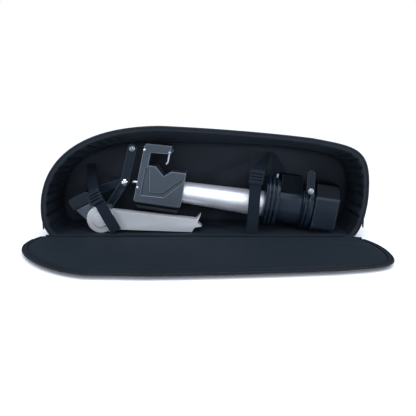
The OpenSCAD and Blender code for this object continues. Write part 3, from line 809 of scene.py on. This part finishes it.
def grained(name, low, high, rough, gloss=0.5, grain_scale=1400, bump=0.03 * mm, blotch=22, edge=None,
            crease_shade=None, **shader):
    """Moulded or cast surface: two close tones over slow clouds, and a fine grain in the bump. The edge tone
    on the ridges of the mesh is a painted highlight, and the darker tone in its hollows is painted shade."""
    material, tree, skin = finish(name, Roughness=rough, Specular_IOR_Level=gloss,
                                  Specular_Tint=linear("#c3d1e2"), **shader)
    place = add(tree, "TexCoord").outputs["Object"]
    clouds = add(tree, "TexNoise", {"Scale": blotch, "Detail": 4.0}, {"Vector": place}).outputs["Fac"]
    colour = tone(tree, low, high, clouds)
    # Painted light by pointiness: a highlight tone on the ridges and a shade tone in the hollows.
    for painted_light_tone, start, end in ((edge, 0.505, 0.54), (crease_shade, 0.495, 0.455)):
        if painted_light_tone:
            bend = add(tree, "NewGeometry").outputs["Pointiness"]
            part = add(tree, "MapRange", {"From Min": start, "From Max": end}, {"Value": bend}).outputs[0]
            mix = add(tree, "Mix", {"data_type": "RGBA"}, {0: part, 6: colour})
            mix.inputs[7].default_value = linear(painted_light_tone)
            colour = mix.outputs[2]
    tree.links.new(colour, skin.inputs["Base Color"])
    grain = add(tree, "TexNoise", {"Scale": grain_scale, "Detail": 2.0}, {"Vector": place}).outputs["Fac"]
    relief = add(tree, "Bump", {"Strength": 0.4, "Distance": bump}, {"Height": grain})
    tree.links.new(relief.outputs[0], skin.inputs["Normal"])
    spread = add(tree, "MapRange", {"To Min": rough - 0.03, "To Max": rough + 0.03}, {"Value": clouds})
    tree.links.new(spread.outputs[0], skin.inputs["Roughness"])
    return material


def eased(node, radius, body, material, segments=3, grid=None):
    """Stands for a hard CAD node: a copy with its triangles merged into faces and every edge
    sharper than 32 degrees rounded to a radius, as a mould or file leaves it. With a grid, the copy
    is rebuilt in cells of that size and relaxed, which rounds a casting all over: n passes of
    half a step towards the neighbours' mean round an edge to about 0.9 sqrt(n) cells."""
    mesh = frame["nodes"][node].data.copy()
    shell = bmesh.new()
    shell.from_mesh(mesh)
    bmesh.ops.remove_doubles(shell, verts=shell.verts, dist=2e-6)
    bmesh.ops.dissolve_limit(shell, angle_limit=math.radians(0.6), verts=shell.verts, edges=shell.edges)
    shell.to_mesh(mesh)
    shell.free()
    mesh.materials.clear()
    mesh.materials.append(material)
    mesh.shade_smooth()
    piece = bpy.data.objects.new(node + "_finished", mesh)
    bpy.context.scene.collection.objects.link(piece)
    if grid:
        cells = piece.modifiers.new("cells", "REMESH")
        cells.mode, cells.voxel_size, cells.use_smooth_shade = "VOXEL", grid, True
        relaxed = piece.modifiers.new("relaxed", "SMOOTH")
        relaxed.factor, relaxed.iterations = 0.5, max(2, round((radius / grid / 0.9) ** 2))
    else:
        bevel = piece.modifiers.new("edges", "BEVEL")
        bevel.width = radius
        bevel.segments = segments
        bevel.limit_method = "ANGLE"
        bevel.angle_limit = math.radians(32)
        bevel.harden_normals = True
    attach(piece, body)
    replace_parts(piece, node)
    return piece


# Satin black, with painted highlights on its edges and painted shade in its slots.
acetal = grained("moulded_acetal", "#060a0f", "#0e141a", 0.4, gloss=0.3, edge="#2c3640",
                crease_shade="#010204")
for end in ("left", "right"):
    eased(end + "_adjuster", 1.0 * mm, "adjuster_" + end, acetal, grid=0.5 * mm)


# ---- Carry handle ----
# A padded grip on a webbing strap, held by two wire loops in sewn tabs on the top wall.

tab_finish = webbing_finish("tab_webbing", "#0c1117", "#1a222b")
plated = grained("nickel_plated_wire", "#8d9197", "#a9adb3", 0.24, Metallic=1.0, grain_scale=700)
eased("handle_tabs", 0.6 * mm, "case", tab_finish, segments=2)
eased("handle_rings", 0.5 * mm, "carry_handle", plated, segments=2)
eased("handle_strap", 0.7 * mm, "carry_handle", tab_finish, segments=2)
eased("handle_grip", 4.2 * mm, "carry_handle", shell_nylon, segments=5)


# ---- Zip sliders and pulls ----
# Black painted zinc castings, parked on the ends of the zip on both outside walls.

zinc = grained("painted_zinc", "#141518", "#232529", 0.32, gloss=0.5, blotch=60)
for part, radius in (("slider", 0.5 * mm), ("pull", 0.4 * mm)):
    for end in ("left", "right"):
        eased(f"zip_{part}_{end}", radius, f"{part}_{end}", zinc)
eased("zip_ends", 0.3 * mm, "case", acetal, segments=2)


# ---- Saddle ----
# A die-cast clamp head, painted dark graphite, over a gloss black base. The paint is satin with a
# fine orange peel, so that long edges catch a soft light.

# Dark graphite with painted highlights on its edges and painted shade in its hollows, gloss black below, and
# small bright steel parts.
graphite = grained("graphite_paint", "#30363d", "#3d444b", 0.36, gloss=0.4, grain_scale=500,
                   bump=0.02 * mm, edge="#7b838b", crease_shade="#04070a", Coat_Weight=0.1,
                   Coat_Roughness=0.2)
base_paint = grained("gloss_black_paint", "#04080d", "#0a0f15", 0.22, gloss=0.3, grain_scale=300,
                     bump=0.004 * mm, Coat_Weight=0.2, Coat_Roughness=0.08)
bright = grained("polished_steel", "#c9ccd0", "#e0e2e5", 0.16, Metallic=1.0, grain_scale=900,
                 bump=0.01 * mm)
hook_steel = grained("zinc_plated_steel", "#8b9097", "#b6bac0", 0.28, Metallic=1.0, grain_scale=400,
                     bump=0.03 * mm)
eased("saddle_body", 1.7 * mm, "case", graphite, grid=0.8 * mm)
eased("saddle_base", 4 * mm, "case", base_paint, grid=1.2 * mm)
for node in ("saddle_pin", "saddle_screws"):
    eased(node, 0.8 * mm, "case", bright)


def cross_screw(name, centre, radius, turn, body, material):
    """Pan head of a cross-head screw facing front: it rises 0.30 (1 - r^3) radii, and its recess is
    a cross of two bars, each a smooth step from 0.10 to 0.18 radii either way, sunk by 0.45 radii
    and closed at 0.6 of the radius."""
    r = np.r_[0.001, np.linspace(0.05, 1, 34), 1.0, 0.9]
    a = np.linspace(0, 2 * math.pi, 97)[:-1]
    u, v = r[:, None] * np.cos(a - turn), r[:, None] * np.sin(a - turn)
    bars = np.maximum(1 - smooth(abs(u), .10, .18), 1 - smooth(abs(v), .10, .18))
    lift = 0.30 * (1 - r[:, None] ** 3) - 0.45 * bars * (1 - smooth(r, .52, .64))[:, None]
    lift[-2:] = [[-0.02], [-0.30]]
    points = np.stack([centre.x + radius * r[:, None] * np.cos(a), centre.y + radius * (0.1 - lift),
                       centre.z + radius * r[:, None] * np.sin(a)], -1)
    return swept(name, points, material, body, shade=40)


eased("hook_latch", 0.6 * mm, "latch", hook_steel)


# ---- Pier tube ----
# Drawn aluminium, satin anodised: bright all over, with faint draw lines along it. The
# tube leans by kit_lean from upright.

kit_lean = math.radians(8.5)
tube_metal, tree, skin = finish("satin_anodised_aluminium", Metallic=0.6, Roughness=0.4)
place = add(tree, "TexCoord").outputs["Object"]
turned = add(tree, "Mapping", {"Rotation": (0, -kit_lean, 0), "Scale": (4, 260, 260)},
             {"Vector": place})
lines = add(tree, "TexNoise", {"Scale": 3.0, "Detail": 3.0}, {"Vector": turned.outputs[0]}).outputs["Fac"]
tree.links.new(tone(tree, "#dfe2e8", "#f2f4f8", lines), skin.inputs["Base Color"])
tree.links.new(add(tree, "Bump", {"Strength": 0.2, "Distance": 0.01 * mm}, {"Height": lines}).outputs[0],
               skin.inputs["Normal"])
spread = add(tree, "MapRange", {"To Min": 0.36, "To Max": 0.44}, {"Value": lines})
tree.links.new(spread.outputs[0], skin.inputs["Roughness"])
eased("pier_tube", 0.6 * mm, "case", tube_metal)


# ---- Drive housing ----
# Gloss black castings and mouldings: a stepped flange, a round body with a motor box on it, a
# clamping ring with its lever, and a squared end cap with a step across its front.

# Near-black gloss on the rings, satin on the round body, and a matt, nearly black motor box. The gloss
# casting and moulding carry painted highlights on their edges and painted shade in their hollows; the motor
# box has painted highlights on its edges.
drive_gloss = grained("gloss_black_casting", "#04090f", "#0a1017", 0.26, gloss=0.25, grain_scale=260,
                      bump=0.004 * mm, edge="#1d2731", crease_shade="#020407", Coat_Weight=0.1,
                      Coat_Roughness=0.08)
cap_gloss = grained("gloss_black_moulding", "#10171f", "#18212a", 0.32, gloss=0.25, grain_scale=260,
                    bump=0.004 * mm, edge="#2f3944", crease_shade="#020407", Coat_Weight=0.05,
                    Coat_Roughness=0.15)
motor_black = grained("matt_black_moulding", "#010305", "#04070a", 0.5, gloss=0.08, grain_scale=500,
                      edge="#1b232b")
body_satin = grained("satin_black_casting", "#161d25", "#202932", 0.34, gloss=0.3, grain_scale=400)
for node, radius, coat in (("drive_flange", 1.6, drive_gloss), ("drive_ring", 1.5, drive_gloss),
                           ("drive_body", 2.0, body_satin)):
    eased(node, radius * mm, "case", coat)
eased("drive_box", 3 * mm, "case", motor_black, grid=1 * mm)

# Above its step the cap is painted darker and made matt: the darker colour is painted shade for the dark
# reflection on its upward face. Heights are taken square to the leaning tube: x sin + z cos.
tree = cap_gloss.node_tree
skin = tree.nodes["Principled BSDF"]
place = add(tree, "TexCoord").outputs["Object"]
height = add(tree, "VectorMath", {"operation": "DOT_PRODUCT", 1: (math.sin(kit_lean), 0, math.cos(kit_lean))},
             {0: place}).outputs["Value"]
step_height = 159 * mm
upper = add(tree, "MapRange", {"From Min": step_height - mm, "From Max": step_height + mm},
            {"Value": height}).outputs[0]
mix = add(tree, "Mix", {"data_type": "RGBA"}, {0: upper, 6: skin.inputs["Base Color"].links[0].from_socket})
mix.inputs[7].default_value = linear("#04070b")
tree.links.new(mix.outputs[2], skin.inputs["Base Color"])
shine = add(tree, "MapRange", {"To Min": 0.25, "To Max": 0.05}, {"Value": upper}).outputs[0]
tree.links.new(shine, skin.inputs["Specular IOR Level"])
eased("drive_cap", 4 * mm, "case", cap_gloss, grid=1.2 * mm)
eased("drive_lever", 2 * mm, "lever", drive_gloss, grid=0.8 * mm)
dull_steel = grained("dull_steel", "#7d8288", "#a4a9af", 0.34, Metallic=0.9, grain_scale=900, bump=0.02 * mm)
eased("drive_screws", 1.0 * mm, "case", dull_steel)
lever_low, lever_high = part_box("drive_lever")
lever_foot = Vector(((lever_low.x + lever_high.x) / 2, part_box("drive_screws")[0].y,
                     lever_low.z + 11.5 * mm))
cross_screw("lever_screw_head", lever_foot, 6.4 * mm, 0.5, "case", dull_steel)


# ---- Folding arm ----
# A silver painted hub and channel cover over a black core, a dark foot block, and a brace of two
# black bars with cross-head screws at its joints.

# Soft, half-metallic silver, and satin black bars with painted highlights on their edges and painted shade in
# their hollows.
silver = grained("silver_paint", "#b3b4b6", "#c3c4c6", 0.42, gloss=0.5, grain_scale=800, bump=0.03 * mm,
                 Metallic=0.35)
satin_black = grained("satin_black_paint", "#0a1017", "#141b23", 0.36, gloss=0.25, grain_scale=500,
                      edge="#323c46", crease_shade="#020407")
collar_grey = grained("collar_paint", "#383d43", "#4a5057", 0.4, gloss=0.5, grain_scale=500)
for node, radius in (("hub_housing", 2.2), ("hub_cap", 1.6), ("arm_cover", 0.8)):
    eased(node, radius * mm, "case", silver)
eased("arm_core", 0.8 * mm, "case", satin_black)
eased("arm_collar", 1.5 * mm, "case", collar_grey)
eased("arm_foot", 3.2 * mm, "case", drive_gloss, grid=1.2 * mm)
for node in ("brace_link", "brace_lower"):
    eased(node, 1.6 * mm, "case", satin_black, grid=0.9 * mm)
eased("brace_upper", 1.6 * mm, "brace", satin_black, grid=0.9 * mm)
for node, body, metal, turn in (("brace_bolt", "case", bright, 0.7),
                                ("brace_top_screw", "brace", dull_steel, 0.3)):
    screw_low, screw_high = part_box(node)
    middle = (screw_low + screw_high) / 2
    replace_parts(cross_screw(node + "_head", Vector((middle.x, screw_low.y, middle.z)),
                            (screw_high.x - screw_low.x) / 2, turn, body, metal), node)
eased("brace_lug", 1.2 * mm, "case", collar_grey)


# ---- Studio ----
# A plain white floor under a high soft light and three soft boxes, seen from above and in front.

camera = bpy.data.objects.new("camera", bpy.data.cameras.new("camera"))
bpy.context.scene.collection.objects.link(camera)
bpy.context.scene.camera = camera
camera.data.sensor_width = 36
camera.data.lens = 38.94
camera.location = (0, -1.281, 0.3385)
camera.rotation_euler = (math.radians(78.23), 0, 0)

floor_mesh = bpy.data.meshes.new("floor")
half = 12.0
floor_mesh.from_pydata([(-half, -half, 0), (half, -half, 0), (half, half, 0), (-half, half, 0)], [],
                       [(0, 1, 2, 3)])
floor = bpy.data.objects.new("floor", floor_mesh)
bpy.context.scene.collection.objects.link(floor)
floor.location.z = -0.3 * mm
paper, tree, skin = finish("white_paper", Roughness=0.9, Specular_IOR_Level=0.1)
fibre = add(tree, "TexNoise", {"Scale": 30}, {"Vector": add(tree, "TexCoord").outputs["Object"]})
tree.links.new(tone(tree, "#f6f6f6", "#fbfbfb", fibre.outputs["Fac"]), skin.inputs["Base Color"])
floor_mesh.materials.append(paper)

# The room is dim for the object, so that gloss stays dark, and plain white behind it.
sky = bpy.data.worlds.new("studio_room")
bpy.context.scene.world = sky
sky.use_nodes = True
tree = sky.node_tree
tree.nodes.clear()
dim = add(tree, "Background", {"Color": linear("#c3d3e6"), "Strength": 0.30})
white = add(tree, "Background", {"Color": (1, 1, 1, 1), "Strength": 1.0})
seen = add(tree, "LightPath").outputs["Is Camera Ray"]
both = add(tree, "MixShader", None, {0: seen, 1: dim.outputs[0], 2: white.outputs[0]})
add(tree, "OutputWorld", None, {"Surface": both.outputs[0]})


def lamp(name, kind, place, aim, power, size):
    """Lamp at a place, turned to a point: a square soft box, or a sun of that angle in degrees."""
    light = bpy.data.lights.new(name, kind)
    light.energy, light.color = power, linear("#eef4ff")[:3]
    if kind == "SUN":
        light.angle = math.radians(size)
    else:
        light.shape, light.size = "SQUARE", size
    holder = bpy.data.objects.new(name, light)
    bpy.context.scene.collection.objects.link(holder)
    holder.location = place
    holder.rotation_euler = (Vector(aim) - Vector(place)).to_track_quat("-Z", "Y").to_euler()


lamp("high_light", "SUN", (0.2, -0.6, 2.2), (0, 0, 0), 3.5, 70)
lamp("front_box", "AREA", (0, -2.5, 1.2), (0, 0, 0.1), 30, 1.8)
lamp("left_box", "AREA", (-1.3, -1.2, 0.35), (0, 0, 0.12), 6, 0.2)
lamp("right_box", "AREA", (1.3, -1.2, 0.35), (0.1, 0, 0.12), 6, 0.2)
bpy.context.scene.view_settings.view_transform = "Standard"
